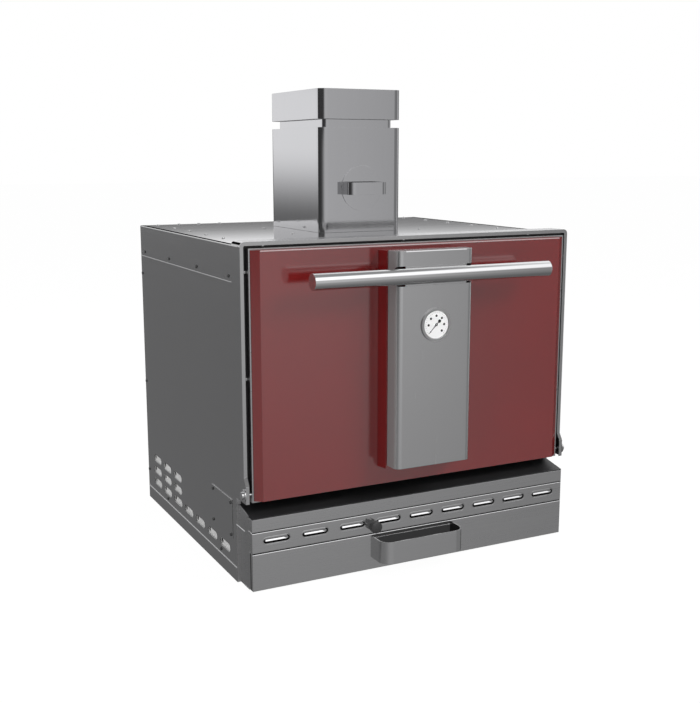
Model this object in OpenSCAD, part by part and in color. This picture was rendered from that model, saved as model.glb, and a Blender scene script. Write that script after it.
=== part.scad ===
// Freestanding charcoal oven with a drop-down front door, side and front air vents,
// a full-width ash drawer and a square chimney with a butterfly damper.
// Millimetres. X is width, Y runs from the front to the back, Z is up, and the floor is Z = 0.

/* [Cabinet] */
// Overall width across the side panels
cab_w = 800; // [740:1:900]
// Depth from the front surround to the back panel
cab_d = 695; // [670:1:800]
// Height of the top cover above the floor
cab_h = 713.6; // [705:0.1:760]
// Thickness of the cabinet sheet
sheet = 2; // [1.2:0.1:2.5]
// Height of the base tray's upstand
tray_h = 32; // [20:1:36]
// Height of the top cover's side and back flanges
flange_h = 74.6; // [50:0.1:90]
// Clearance between pieces that rest against each other
seat = 0.3; // [0.2:0.05:0.5]
// Radial clearance of pins and shafts in their bores
fit = 0.1; // [0.05:0.01:0.2]

/* [Front surround] */
// Depth of the surround's side wings
wing_d = 48; // [40:1:60]
// Width of the surround's front band
band_w = 8; // [5:0.5:9]
// Rise of the surround above the top cover
surround_rise = 8.7; // [4:0.1:15]
// Radius of the surround's top corners
surround_r = 10; // [6:0.5:14]
// Height of the lower end of the hinge ears
ear_z = 188; // [180:1:192]
// Height of the ears' upright front edge
ear_h = 38; // [30:1:50]
// Height over which the ears slant back to the band
ear_slant = 16; // [8:1:30]
// Step of the ears in front of the band
ear_step = 10; // [6:0.5:14]

/* [Mouth and firebox] */
// Width of the mouth opening
mouth_w = 660; // [560:1:690]
// Height of the mouth's lower edge
mouth_z = 240; // [236:1:260]
// Distance of the mouth's upper edge below the top cover
mouth_drop = 33.6; // [28:0.1:70]
// Setback of the recessed flange behind the surround's front
flange_y = 9; // [8.8:0.1:14]
// Thickness of the recessed flange
flange_t = 3; // [2:0.5:4]
// Thickness of the firebox plates
wall_t = 4; // [3:0.5:6]
// Inside width of the firebox
fire_w = 680; // [672:1:710]
// Inside depth of the firebox
fire_d = 590; // [500:1:600]
// Height of the hearth deck's underside
deck_z = 148; // [135:1:150]
// Thickness of the hearth deck
deck_t = 4; // [3:0.5:6]
// Width of the ash opening in the hearth deck
ash_w = 380; // [300:1:440]
// Length of the ash opening in the hearth deck
ash_l = 400; // [300:1:440]
// Thickness of the fire grate
grate_t = 8; // [6:1:14]
// Width of each slot in the fire grate
grate_slot_w = 14; // [8:1:18]
// Number of slots in the fire grate
grate_slots = 12; // [6:1:14]
// Height of the lowest rack ledge
rack_z = 330; // [300:1:360]
// Height from one rack ledge to the next
rack_pitch = 100; // [60:1:110]
// Reach of the rack ledges
ledge_w = 20; // [12:1:30]
// Diameter of the cooking grids' frame rods
grid_frame_d = 8; // [6:0.5:12]
// Diameter of the cooking grids' bars
grid_bar_d = 5; // [3:0.5:6]
// Number of bars in each cooking grid
grid_bars = 21; // [11:1:25]

/* [Flue] */
// Width of the chimney housing
stack_w = 212; // [190:1:260]
// Depth of the chimney housing
stack_d = 290; // [260:1:330]
// Distance of the chimney's middle behind the surround's front
stack_y = 397; // [370:1:440]
// Corner radius of the chimney housing
stack_r = 20; // [14:1:30]
// Height of the chimney housing above the top cover
stack_h = 237.6; // [200:0.1:300]
// Height of the gap under the chimney cap
cap_gap = 18.5; // [12:0.5:30]
// Height of the chimney cap
cap_h = 67.1; // [40:0.1:90]
// Inset of the cap spacer from the chimney housing
spacer_inset = 16.5; // [12:0.5:20]
// Outside width of the flue liner
liner_w = 158; // [120:1:164]
// Outside depth of the flue liner
liner_d = 234; // [180:1:240]
// Height of the damper's axis above the top cover
damper_h = 100.4; // [84:0.1:140]
// Radius of the damper disc
disc_r = 51.5; // [35:0.5:60]
// Diameter of the damper shaft
shaft_d = 10; // [8:0.5:14]
// Width of the damper's strap handle
damper_handle_w = 98; // [70:1:98]
// Height of the damper's strap handle
damper_handle_h = 28; // [16:1:34]
// Reach of the damper's strap handle
damper_handle_reach = 36.7; // [25:0.1:40]
// Bend radius of the damper's strap handle
damper_handle_r = 15; // [6:1:20]

/* [Plinth] */
// Setback of the plinth's sides from the cabinet's sides
base_inset = 8; // [5:0.5:30]
// Step of the plinth in front of the surround
base_proj = 20; // [16:1:24]
// Height of the front edge of the ash drawer
drawer_front_h = 81.2; // [70:0.1:82]
// Height of the upper edge of the air slot plate
slot_plate_top = 129.3; // [126:0.1:132]
// Height of the front edge of the apron
apron_z = 159; // [154:1:162]
// Rise of the apron from front to back
apron_rise = 13; // [8:0.5:15]
// Run of the apron from front to back
apron_run = 65; // [55:0.5:65]
// Length of an air slot
slot_l = 62; // [50:1:68]
// Height of an air slot
slot_h = 17.5; // [12:0.5:20]
// Distance of the outermost front air slots from the middle
slot_end_x = 338; // [330:1:342]
// Pitch of the four left air slots
slot_pitch_left = 88.2; // [84:0.1:89]
// Pitch of the five right air slots
slot_pitch_right = 82.3; // [78:0.1:84]
// Height of the air slots' middle line
slot_z = 108.5; // [104:0.5:112]
// Pitch of the side vents
vent_pitch = 82; // [76:0.1:86]
// Height from one row of side vents to the next
vent_row = 30.7; // [24:0.1:32]
// Height of the lowest row of side vents
vent_z = 60.2; // [50:0.1:64]

/* [Air shutter] */
// Distance of the shutter rod left of the middle
rod_x = 123; // [122:0.5:124]
// Diameter of the shutter rod
rod_d = 8; // [5:0.5:9]
// Diameter of the shutter knob
knob_d = 26; // [20:1:34]
// Length of the shutter knob
knob_l = 13.4; // [10:0.1:20]
// Distance of the knob's face in front of the surround
knob_y = 62; // [60:0.5:80]
// Diameter over the lobes of the lock nut
nut_d = 24; // [18:0.5:30]
// Thickness of the lock nut
nut_l = 13.7; // [8:0.1:14]
// Height of the shutter plate
shutter_h = 34; // [26:1:36]
// Diameter of the shutter's guide pins
guide_d = 6; // [4:0.5:8]

/* [Ash drawer] */
// Width of the ash drawer box
drawer_w = 660; // [560:1:720]
// Length of the ash drawer box
drawer_l = 617; // [500:1:640]
// Height of the ash drawer box
drawer_h = 62; // [40:1:66]
// Width of the ash drawer's handle
drawer_handle_w = 205; // [150:1:260]
// Distance of the drawer handle's middle left of the middle
drawer_handle_x = 15; // [0:1:40]
// Height of the drawer handle's strap
drawer_handle_h = 48.5; // [20:0.5:52]
// Reach of the drawer handle in front of the drawer
drawer_handle_reach = 59.7; // [40:0.1:70]
// Bend radius of the drawer handle
drawer_handle_r = 24; // [8:1:40]
// Thickness of the handle straps
strap_t = 3; // [2:0.5:5]

/* [Door] */
// Gap between the door's grey frame and the surround's side bands
door_side_gap = 7.5; // [6.5:0.1:12]
// Gap between the door's grey frame and the surround's upper band
door_top_gap = 4.8; // [4:0.1:8]
// Height of the door frame's lower edge
door_z = 188.5; // [186:0.5:190]
// Thickness of the door frame
door_t = 9.7; // [9:0.1:10.5]
// Height of the hinge axis
hinge_z = 206; // [204:0.5:208]
// Diameter of the hinge pins
hinge_d = 6; // [5:0.5:6.5]
// Width of the grey frame's visible edge beside the red skin
frame_edge = 3; // [1.5:0.5:8]
// Width of the red skin's slanted sides
skin_side = 16.5; // [10:0.5:30]
// Depth of the red skin's slanted sides
skin_bevel = 12; // [6:0.5:14]
// Thickness of the door plug
plug_d = 41; // [20:1:44]
// Clearance round the door plug in the mouth
plug_gap = 4; // [3:0.5:8]
// Width of the pedestal at the skin
pedestal_w = 202; // [190:1:230]
// Width of the pedestal at the cover
pedestal_front_w = 190; // [186:1:200]
// Depth of the pedestal
pedestal_d = 26.7; // [20:0.1:30]
// Distance of the pedestal's top below the door frame's top
pedestal_drop = 12.5; // [12:0.1:50]

/* [Centre cover and handle] */
// Width of the centre cover
cover_w = 184; // [160:1:186]
// Depth of the centre cover
cover_d = 39.3; // [30:0.1:45]
// Distance of the centre cover's top below the door frame's top
cover_drop = 11.5; // [11:0.1:30]
// Corner radius of the centre cover
cover_r = 13; // [6:1:20]
// Length of the handle bar
bar_l = 565.6; // [480:0.1:640]
// Diameter of the handle bar
bar_d = 34; // [26:1:38]
// Distance of the handle bar's axis below the door frame's top
bar_drop = 62.9; // [54:0.1:80]
// Distance of the handle posts from the middle
post_x = 60; // [30:1:70]

/* [Thermometer] */
// Diameter of the thermometer's bezel
bezel_d = 70; // [60:1:90]
// Thickness of the thermometer's bezel
bezel_t = 3.5; // [3.3:0.1:6]
// Diameter of the dial
dial_d = 58; // [44:1:60]
// Distance of the thermometer's middle below the door frame's top
dial_drop = 167; // [130:0.5:210]
// Diameter of the thermometer's case behind the cover
case_d = 40; // [30:1:50]
// Diameter of the thermometer's stem
stem_d = 6; // [4:0.5:8]
// Length of the needle from its pivot to its tip
needle_l = 22; // [16:1:25]

/* [Hidden] */
$fn = 48;
eps = 0.01;
yf = -cab_d / 2;
yb = cab_d / 2;
hw = cab_w / 2;
in_hw = hw - sheet;
lap_hw = in_hw - seat;
base_hw = hw - base_inset;
top_z = cab_h + surround_rise;
mouth_h = cab_h - mouth_drop - mouth_z;
flange_foot = 12.5;
roof_z = mouth_z + mouth_h + wall_t + seat;
front_wall_y = wing_d - 2.7;
fire_y0 = front_wall_y + wall_t + seat;
fire_y1 = fire_y0 + fire_d;
fire_hw = fire_w / 2;
mouth_hw = mouth_w / 2;
deck_top = deck_z + deck_t;
wall_z = deck_top + seat;
flange_z = cab_h - flange_h;
panel_top = flange_z - seat;
panel_z = tray_h + seat;
lap_top = cab_h - 20;
lap_h = 38;
side_foot = 8;
back_return = 20;
side_slab_hw = in_hw - 9;
back_slab_y = cab_d - 10;
slab_top = cab_h - 9.6;
screw_d = 4;
head_d = 8;
head_h = 1.6;
head_taper = 0.8;
shank_l = 6;
flange_screw_z = flange_z + 11;
flange_screws = [65, 263.3, 461.6, 660];
rear_screw_y = cab_d - 7;
rear_screws = [77, 314, cab_h - 119.6];
bottom_screw_z = tray_h + 10;
bottom_screws = [145.4, 530];
cover_screw_in = 8;
access_y = 70;
access_w = 125;
access_z = 89;
access_h = 87;
access_t = 1;
access_rim = 20;
top_rows = [214.7, 328.2, 441.6, 555];
top_screw_in = 45.4;
top_screw_x = hw - top_screw_in;
back_row_y = cab_d - 5;
back_row = [190, 247, 300];
frame_screw_x = lap_hw - 10.2;
frame_side_z = [446, cab_h - 51.6];
frame_top_x = [-348, -26.5, 295];
frame_top_z = cab_h - 2.6;
frame_screw_d = 5;
vent_y = 611.7;
vent_plate_hw = in_hw - seat;
vent_plate_t = 2;
vent_hole_d = 14;
vent_hole_rise = 2;
vent_margin = 12;
stack_z = cab_h + seat;
stack_top = stack_z + stack_h - seat;
cap_z = stack_top + cap_gap;
cap_top = cap_z + cap_h;
cyp = yf + stack_y;
liner_t = 2;
liner_r = 10;
flue_gap = 16;
liner_z = roof_z + wall_t + seat;
liner_top = cap_z + cap_h * 0.6;
damper_z = cab_h + damper_h;
disc_t = 1.5;
disc_y = yf + stack_y - stack_d / 2 - seat;
rail_w = 30;
rail_h = 5.4;
rail_wall_h = 18;
rail_out = 4;
rail_y = yf + 5;
drawer_z = sheet + seat + rail_h + seat;
drawer_t = 1.5;
front_y = yf - base_proj;
slot_plate_z = sheet + seat + drawer_front_h + seat + 0.5;
header_z = slot_plate_top + seat;
header_lip = 3;
slot_lip = 4;
drawer_lip = 3;
drawer_handle_z = 31;
rod_z = 110;
rod_socket = 6;
nut_lobe_r = 3;
shutter_y = front_y + 5;
shutter_t = 2;
skin_y = yf - 5.7 - seat;
skin_margin = 3.5;
skin_z = door_z + skin_margin;
frame_y = yf - 5.7;
frame_ring = 34;
door_w = 2 * (hw - band_w - door_side_gap);
door_h = top_z - band_w - door_top_gap - door_z;
door_top = door_z + door_h;
skin_back_w = door_w - 2 * frame_edge;
skin_w = skin_back_w - 2 * skin_side;
skin_h = door_h - 2 * skin_margin;
hinge_y = yf - 1;
hinge_washer_d = 25;
hinge_head_d = 16;
hinge_head_h = 6;
plug_y = frame_y + door_t + seat;
pedestal_y = skin_y - skin_bevel - seat;
pedestal_z = 233;
pedestal_h = door_top - pedestal_drop - pedestal_z;
cover_y = pedestal_y - pedestal_d - seat;
cover_z = 240;
cover_h = door_top - cover_drop - cover_z;
cover_front = cover_y - cover_d;
bar_y = cover_front - seat;
bar_z = door_top - bar_drop;
bar_gap = 3.5;
post_d = 20;
dial_z = door_top - dial_drop;
bezel_y = cover_front - seat;
lens_y = bezel_y - bezel_t + 0.1;
needle_y = lens_y + 0.8;
dial_y = needle_y + 0.7;
dial_t = 0.7;
case_gap = 8;
stem_out = 30;
lens_rim = 1.2;
rebate_rim = 1.5;
needle_hub_r = 3;
needle_tail = 11;
slot_x = concat([for (i = [0:3]) -slot_end_x + i * slot_pitch_left],
  [for (i = [0:4]) slot_end_x - i * slot_pitch_right]);

steel = [0.72, 0.73, 0.74];
bright = [0.82, 0.83, 0.84];
dark = [0.12, 0.12, 0.13];
iron = [0.25, 0.25, 0.26];
wool = [0.85, 0.82, 0.7];
red = [0.5, 0.08, 0.08];

module box(x0, x1, y0, y1, z0, z1) {
  translate([x0, y0, z0]) cube([x1 - x0, y1 - y0, z1 - z0]);
}

module both() {
  children();
  mirror([1, 0, 0]) children();
}

// Plate in the X-Z plane between two Y values
module plate_xz(y0, y1) {
  translate([0, y1, 0]) rotate([90, 0, 0]) linear_extrude(y1 - y0) children();
}

// Plate in the Y-Z plane between two X values
module plate_yz(x0, x1) {
  translate([x0, 0, 0]) rotate([90, 0, 90]) linear_extrude(x1 - x0) children();
}

module rod_x_at(x0, x1, y, z, r) {
  translate([x0, y, z]) rotate([0, 90, 0]) cylinder(h = x1 - x0, r = r);
}

module rod_y_at(x, y0, y1, z, r) {
  translate([x, y0, z]) rotate([-90, 0, 0]) cylinder(h = y1 - y0, r = r);
}

module obround(w, h) {
  square([w - h, h], center = true);
  translate([(w - h) / 2, 0]) circle(r = h / 2);
  translate([(h - w) / 2, 0]) circle(r = h / 2);
}

module rrect(w, h, r) {
  square([w - 2 * r, h], center = true);
  square([w, h - 2 * r], center = true);
  for (sx = [-1, 1]) for (sy = [-1, 1]) translate([sx * (w / 2 - r), sy * (h / 2 - r)]) circle(r = r);
}

// Rectangle with two rounded upper corners
module arch(w2, v0, v1, r) {
  translate([-w2, v0]) square([2 * w2, v1 - r - v0]);
  translate([r - w2, v0]) square([2 * (w2 - r), v1 - v0]);
  for (s = [-1, 1]) intersection() {
    translate([s * (w2 - r), v1 - r]) circle(r = r);
    translate([-w2, v0]) square([2 * w2, v1 - v0]);
  }
}

module rtube(w, d, r, t, z0, z1) {
  translate([0, cyp, z0]) linear_extrude(z1 - z0) difference() {
    rrect(w, d, r);
    rrect(w - 2 * t, d - 2 * t, r - t);
  }
}

// Plate inside the chimney's outline with an opening for the flue liner
module stack_plate(z) {
  translate([0, cyp, z]) linear_extrude(sheet) difference() {
    rrect(stack_w - 1, stack_d - 1, stack_r - 0.5);
    rrect(liner_w + 2 * seat, liner_d + 2 * seat, liner_r);
  }
}

module base_tray() {
  color(steel) {
    box(-base_hw, base_hw, yf, yf + wing_d, 0, sheet);
    box(-hw, hw, yf + wing_d, yb, 0, sheet);
    both() box(in_hw, hw, yf + wing_d, yb, 0, tray_h);
    box(-hw, hw, yb - sheet, yb, 0, tray_h);
  }
}

module vent_row_2d(row, count) {
  for (k = [0:count - 1]) translate([yf + vent_y - k * vent_pitch, vent_z + row * vent_row])
    obround(slot_l, slot_h);
}

module side_panel(with_access) {
  difference() {
    union() {
      box(in_hw, hw, yf + wing_d, yb, panel_z, panel_top);
      box(in_hw - side_foot, in_hw, yf + wing_d, yb - back_return - seat, panel_z, panel_z + sheet);
      box(lap_hw - sheet, in_hw, yf + wing_d + sheet, yb - back_return - sheet - seat,
        panel_top - lap_h, panel_top);
      box(lap_hw - sheet, lap_hw, yf + wing_d + sheet, yb - back_return - sheet - seat,
        panel_top - eps, lap_top);
    }
    plate_yz(in_hw - 1, hw + 1) {
      vent_row_2d(0, 7);
      vent_row_2d(1, 3);
      vent_row_2d(2, 3);
    }
    for (y = flange_screws) rod_x_at(lap_hw - 5, hw + 1, yf + y, flange_screw_z, screw_d / 2 + seat);
    for (z = rear_screws) rod_x_at(in_hw - 1, hw + 1, yf + rear_screw_y, z, screw_d / 2 + seat);
    for (y = bottom_screws) rod_x_at(in_hw - 1, hw + 1, yf + y, bottom_screw_z, screw_d / 2 + seat);
    if (with_access) {
      box(in_hw - 1, hw + 1, yf + access_y + access_rim, yf + access_y + access_w - access_rim,
        access_z + access_rim, deck_z - cover_screw_in);
      for (p = access_screws()) rod_x_at(in_hw - 1, hw + 1, p[0], p[1], screw_d / 2 + seat);
    }
  }
}

function access_screws() = [for (sy = [cover_screw_in, access_w - cover_screw_in])
  for (sz = [cover_screw_in, access_h - cover_screw_in]) [yf + access_y + sy, access_z + sz]];

module left_side_panel() {
  color(steel) mirror([1, 0, 0]) side_panel(true);
}

module right_side_panel() {
  color(steel) side_panel(false);
}

module back_panel() {
  color(steel) difference() {
    union() {
      box(-lap_hw, lap_hw, yb - sheet, yb, panel_z, panel_top);
      both() box(lap_hw - sheet, lap_hw, yb - back_return, yb - sheet, panel_z, panel_top);
      box(sheet - lap_hw, lap_hw - sheet, yb - sheet - seat - sheet, yb - sheet, panel_top - lap_h,
        panel_top);
      box(sheet - lap_hw, lap_hw - sheet, yb - sheet - seat - sheet, yb - sheet - seat,
        panel_top - eps, lap_top);
    }
    both() for (z = rear_screws) rod_x_at(lap_hw - 3, lap_hw + 1, yf + rear_screw_y, z, screw_d / 2 + seat);
  }
}

module top_cover() {
  color(bright) difference() {
    union() {
      box(seat - lap_hw, lap_hw - seat, yf + flange_y + flange_t + seat, yf + wing_d, cab_h - sheet, cab_h);
      box(-hw, hw, yf + wing_d, yb, cab_h - sheet, cab_h);
      both() box(in_hw, hw, yf + wing_d, yb, flange_z, cab_h);
      box(-hw, hw, yb - sheet, yb, flange_z, cab_h);
    }
    translate([0, cyp, cab_h - sheet - 1]) linear_extrude(sheet + 2)
      rrect(liner_w + 2 * flue_gap, liner_d + 2 * flue_gap, liner_r);
    for (p = top_screw_points()) translate([p[0], p[1], cab_h - 5]) cylinder(h = 10, r = screw_d / 2 + seat);
    both() for (y = flange_screws) rod_x_at(in_hw - 1, hw + 1, yf + y, flange_screw_z, screw_d / 2 + seat);
  }
}

rear_edge_in = 14;
stack_screw_x = [166.8, 160];
stack_screw_y = [271, 458];

function top_screw_points() = concat(
  [for (s = [-1, 1]) for (y = top_rows) [s * top_screw_x, yf + y]],
  [for (s = [-1, 1]) [s * (top_screw_x + 3.4), yb - rear_edge_in]],
  [for (s = [-1, 1]) for (x = back_row) [s * x, yf + back_row_y]],
  [for (s = [-1, 1]) for (i = [0, 1]) [s * stack_screw_x[i], yf + stack_screw_y[i]]]);

module screw_z(x, y, z) {
  translate([x, y, z + seat]) cylinder(h = head_h, r1 = head_d / 2, r2 = head_d / 2 - head_taper);
  translate([x, y, z - shank_l]) cylinder(h = shank_l + 1, r = screw_d / 2);
}

module screw_x(x, y, z) {
  translate([x + seat, y, z]) rotate([0, 90, 0])
    cylinder(h = head_h, r1 = head_d / 2, r2 = head_d / 2 - head_taper);
  rod_x_at(x - shank_l, x + 1, y, z, screw_d / 2);
}

module side_screws() {
  for (y = flange_screws) screw_x(hw, yf + y, flange_screw_z);
  for (z = rear_screws) screw_x(hw, yf + rear_screw_y, z);
  for (y = bottom_screws) screw_x(hw, yf + y, bottom_screw_z);
}

module case_screws() {
  color(bright) {
    for (p = top_screw_points()) screw_z(p[0], p[1], cab_h);
    both() side_screws();
    mirror([1, 0, 0]) for (p = access_screws()) screw_x(hw + seat + access_t, p[0], p[1]);
  }
}

module access_cover() {
  color(steel) mirror([1, 0, 0]) difference() {
    box(hw + seat, hw + seat + access_t, yf + access_y, yf + access_y + access_w, access_z,
      access_z + access_h);
    for (p = access_screws()) rod_x_at(hw, hw + 5, p[0], p[1], screw_d / 2 + seat);
  }
}

module front_surround() {
  color(bright) difference() {
    union() {
      plate_xz(yf, yf + wing_d - seat) difference() {
        arch(hw, ear_z + ear_h + ear_slant, top_z, surround_r);
        arch(in_hw, ear_z, top_z - sheet, surround_r - sheet);
      }
      plate_xz(yf, yf + sheet) difference() {
        arch(hw, ear_z + ear_h + ear_slant, top_z, surround_r);
        arch(hw - band_w, ear_z, top_z - band_w, 3);
      }
      box(surround_r - hw, hw - surround_r, yf + wing_d - seat - sheet, yf + wing_d - seat,
        cab_h + seat, top_z - 1);
      both() plate_yz(in_hw, hw) polygon([
        [yf + wing_d - seat, ear_z],
        [yf - ear_step, ear_z],
        [yf - ear_step, ear_z + ear_h],
        [yf, ear_z + ear_h + ear_slant],
        [yf + wing_d - seat, ear_z + ear_h + ear_slant]]);
      both() plate_yz(hw - band_w, hw) polygon([
        [yf - ear_step, ear_z],
        [yf - ear_step + sheet, ear_z],
        [yf - ear_step + sheet, ear_z + ear_h],
        [yf + sheet, ear_z + ear_h + ear_slant],
        [yf, ear_z + ear_h + ear_slant],
        [yf - ear_step, ear_z + ear_h]]);
    }
    both() rod_x_at(in_hw - 1, hw + 1, hinge_y, hinge_z, hinge_d / 2 + seat);
  }
}

module mouth_frame() {
  color(dark) difference() {
    union() {
      plate_xz(yf + flange_y, yf + flange_y + flange_t) difference() {
        arch(lap_hw, mouth_z - flange_foot, top_z - sheet - seat, surround_r - sheet);
        translate([-mouth_hw, mouth_z]) square([mouth_w, mouth_h]);
      }
      plate_xz(yf + flange_y, yf + front_wall_y + wall_t) difference() {
        translate([-mouth_hw - wall_t, mouth_z - wall_t])
          square([mouth_w + 2 * wall_t, mouth_h + 2 * wall_t]);
        translate([-mouth_hw, mouth_z]) square([mouth_w, mouth_h]);
      }
    }
    frame_screw_marks(frame_screw_d / 2 - 0.5 + seat, -1, 10);
  }
}

module frame_screw_marks(r, y0, l) {
  for (z = frame_side_z) {
    rod_y_at(-frame_screw_x, yf + flange_y + y0, yf + flange_y + y0 + l, z, r);
    rod_y_at(frame_screw_x, yf + flange_y + y0, yf + flange_y + y0 + l, z, r);
  }
  for (x = frame_top_x) rod_y_at(x, yf + flange_y + y0, yf + flange_y + y0 + l, frame_top_z + 4, r);
}

module frame_screws() {
  color(bright) {
    frame_screw_marks(frame_screw_d / 2 - 0.5, -1, flange_t + 1);
    frame_screw_marks(frame_screw_d / 2 + 0.5, -seat - 2, 2);
  }
}

module front_wall() {
  color(iron) plate_xz(yf + front_wall_y, yf + front_wall_y + wall_t) difference() {
    union() {
      translate([-lap_hw, ear_z]) square([2 * lap_hw, cab_h - sheet - seat - ear_z]);
      translate([sheet + seat - base_hw, wall_z]) square([2 * (base_hw - sheet - seat), ear_z + 1 - wall_z]);
    }
    translate([-mouth_hw - wall_t - seat, mouth_z - wall_t - seat])
      square([mouth_w + 2 * wall_t + 2 * seat, mouth_h + 2 * wall_t + 2 * seat]);
  }
}

module firebox_side_walls() {
  color(iron) both() box(fire_hw, fire_hw + wall_t, yf + fire_y0, yf + fire_y1, wall_z, roof_z - seat);
}

module firebox_back_wall() {
  color(iron) box(-fire_hw - wall_t, fire_hw + wall_t, yf + fire_y1 + seat,
    yf + fire_y1 + seat + wall_t, wall_z, roof_z - seat);
}

module firebox_roof() {
  color(iron) difference() {
    box(-fire_hw - wall_t, fire_hw + wall_t, yf + fire_y0, yf + fire_y1 + seat + wall_t, roof_z,
      roof_z + wall_t);
    translate([0, cyp, roof_z - 1]) linear_extrude(wall_t + 2)
      rrect(liner_w - 2 * liner_t, liner_d - 2 * liner_t, liner_r - liner_t);
  }
}

module hearth_deck() {
  color(iron) difference() {
    union() {
      box(seat + sheet - base_hw, base_hw - sheet - seat, yf + seat, yf + wing_d + 3, deck_z, deck_top);
      box(-lap_hw, lap_hw, yf + wing_d + 2, yb - back_return - 1, deck_z, deck_top);
      box(sheet + seat - lap_hw, lap_hw - sheet - seat, yb - back_return - 2, yb - sheet - seat,
        deck_z, deck_top);
    }
    box(-ash_w / 2, ash_w / 2, grate_y - ash_l / 2, grate_y + ash_l / 2, deck_z - 1, deck_top + 1);
  }
}

grate_y = yf + fire_y0 + fire_d / 2;
grate_rim = 15;
grate_hw = ash_w / 2 + grate_rim;
grate_hl = ash_l / 2 + grate_rim;
grate_pitch = (ash_w - 20) / grate_slots;
grate_slot_hl = ash_l / 2 - grate_rim;

module fire_grate() {
  color(iron) difference() {
    box(-grate_hw, grate_hw, grate_y - grate_hl, grate_y + grate_hl, wall_z, wall_z + grate_t);
    for (i = [0:grate_slots - 1]) translate([(i + 0.5 - grate_slots / 2) * grate_pitch, grate_y])
      box(-grate_slot_w / 2, grate_slot_w / 2, -grate_slot_hl, grate_slot_hl, wall_z - 1,
        wall_z + grate_t + 1);
  }
}

rack_y0 = yf + fire_y0 + 20;
rack_y1 = yf + fire_y1 - 10;
rack_t = 2;
rack_rim = 20;
rack_x = fire_hw - seat - rack_t;

module rack_runners() {
  color(steel) both() {
    box(rack_x, rack_x + rack_t, rack_y0, rack_y1, rack_z - rack_rim, rack_z + 2 * rack_pitch + rack_rim);
    for (z = [rack_z, rack_z + rack_pitch, rack_z + 2 * rack_pitch])
      box(rack_x - ledge_w, rack_x, rack_y0, rack_y1, z - rack_t, z);
  }
}

grid_hw = rack_x - 4;

module cooking_grid(z) {
  r = grid_frame_d / 2;
  zc = z + seat + r;
  y0 = rack_y0 + r + 6;
  y1 = rack_y1 - r - 6;
  for (s = [-1, 1]) rod_y_at(s * (grid_hw - r), y0 - r, y1 + r, zc, r);
  for (y = [y0, (y0 + y1) / 2, y1]) rod_x_at(r - grid_hw, grid_hw - r, y, zc, r - 0.5);
  for (i = [1:grid_bars]) rod_y_at((i / (grid_bars + 1) - 0.5) * 2 * (grid_hw - r), y0, y1, zc,
    grid_bar_d / 2);
}

module lower_cooking_grid() {
  color(bright) cooking_grid(rack_z);
}

module upper_cooking_grid() {
  color(bright) cooking_grid(rack_z + 2 * rack_pitch);
}

module side_insulation() {
  color(wool) both() box(fire_hw + wall_t + seat, side_slab_hw, yf + fire_y0,
    yf + fire_y1 + wall_t, wall_z, roof_z);
}

module back_insulation() {
  color(wool) box(-side_slab_hw, side_slab_hw, yf + fire_y1 + wall_t + 2 * seat, yf + back_slab_y,
    wall_z, roof_z);
}

module roof_insulation() {
  color(wool) difference() {
    box(-side_slab_hw, side_slab_hw, yf + fire_y0, yf + back_slab_y, roof_z + wall_t + seat, slab_top);
    translate([0, cyp, roof_z]) linear_extrude(slab_top - roof_z + 1)
      rrect(liner_w + 2 * seat, liner_d + 2 * seat, liner_r);
  }
}

module flue_liner() {
  color(steel) difference() {
    rtube(liner_w, liner_d, liner_r, liner_t, liner_z, liner_top);
    rod_y_at(0, yf, yb, damper_z, shaft_d / 2 + fit);
  }
}

module chimney_housing() {
  color(bright) difference() {
    union() {
      rtube(stack_w, stack_d, stack_r, sheet, stack_z, stack_top);
      stack_plate(stack_top - sheet);
    }
    rod_y_at(0, yf, cyp, damper_z, shaft_d / 2 + fit);
  }
}

module cap_spacer() {
  color(bright) translate([0, cyp, stack_top + seat]) linear_extrude(cap_gap - 2 * seat) difference() {
    rrect(stack_w - 2 * spacer_inset, stack_d - 2 * spacer_inset, stack_r - 8);
    rrect(liner_w + 2 * seat, liner_d + 2 * seat, liner_r);
  }
}

module chimney_cap() {
  color(bright) {
    rtube(stack_w, stack_d, stack_r, sheet, cap_z, cap_top);
    stack_plate(cap_z);
  }
}

screen_w = stack_w - 2 * sheet - 2 * seat;
screen_d = stack_d - 2 * sheet - 2 * seat;
screen_t = 1.5;
screen_pitch = 12;
screen_slot_w = 8;
screen_slot_hl = screen_d / 2 - 14;

module spark_screen() {
  color(iron) difference() {
    translate([0, cyp, liner_top + seat]) linear_extrude(screen_t)
      rrect(screen_w, screen_d, stack_r - sheet - seat);
    for (i = [-7:7]) translate([i * screen_pitch, cyp])
      box(-screen_slot_w / 2, screen_slot_w / 2, -screen_slot_hl, screen_slot_hl, liner_top,
        liner_top + 2 * screen_t);
  }
}

module damper_shaft() {
  color(steel) rod_y_at(0, disc_y - disc_t, cyp + liner_d / 2 + 6, damper_z, shaft_d / 2);
}

flap_t = 3;
flap_gap = 4;
flap_r = 6;
flap_hub_hl = liner_d / 2 - liner_t - flap_gap;

module damper_flap() {
  color(iron) difference() {
    union() {
      translate([0, cyp, damper_z - flap_t / 2]) linear_extrude(flap_t)
        rrect(liner_w - 2 * (liner_t + flap_gap), liner_d - 2 * (liner_t + flap_gap) + 2, flap_r);
      rod_y_at(0, cyp - flap_hub_hl, cyp + flap_hub_hl, damper_z, shaft_d / 2 + flap_t);
    }
    rod_y_at(0, yf, yb, damper_z, shaft_d / 2 + eps);
  }
}

module damper_disc() {
  color(bright) difference() {
    rod_y_at(0, disc_y - disc_t, disc_y, damper_z, disc_r);
    rod_y_at(0, disc_y - 5, disc_y + 5, damper_z, shaft_d / 2 + eps);
  }
}

// Bent strap with its open side toward +Y
module strap(w, h, reach, r, t, x, y, z) {
  translate([x, y, z]) rotate([0, 0, 180]) translate([0, 0, -h / 2]) linear_extrude(h) difference() {
    arch(w / 2, 0, reach, r);
    arch(w / 2 - t, -1, reach - t, r - t);
  }
}

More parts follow.
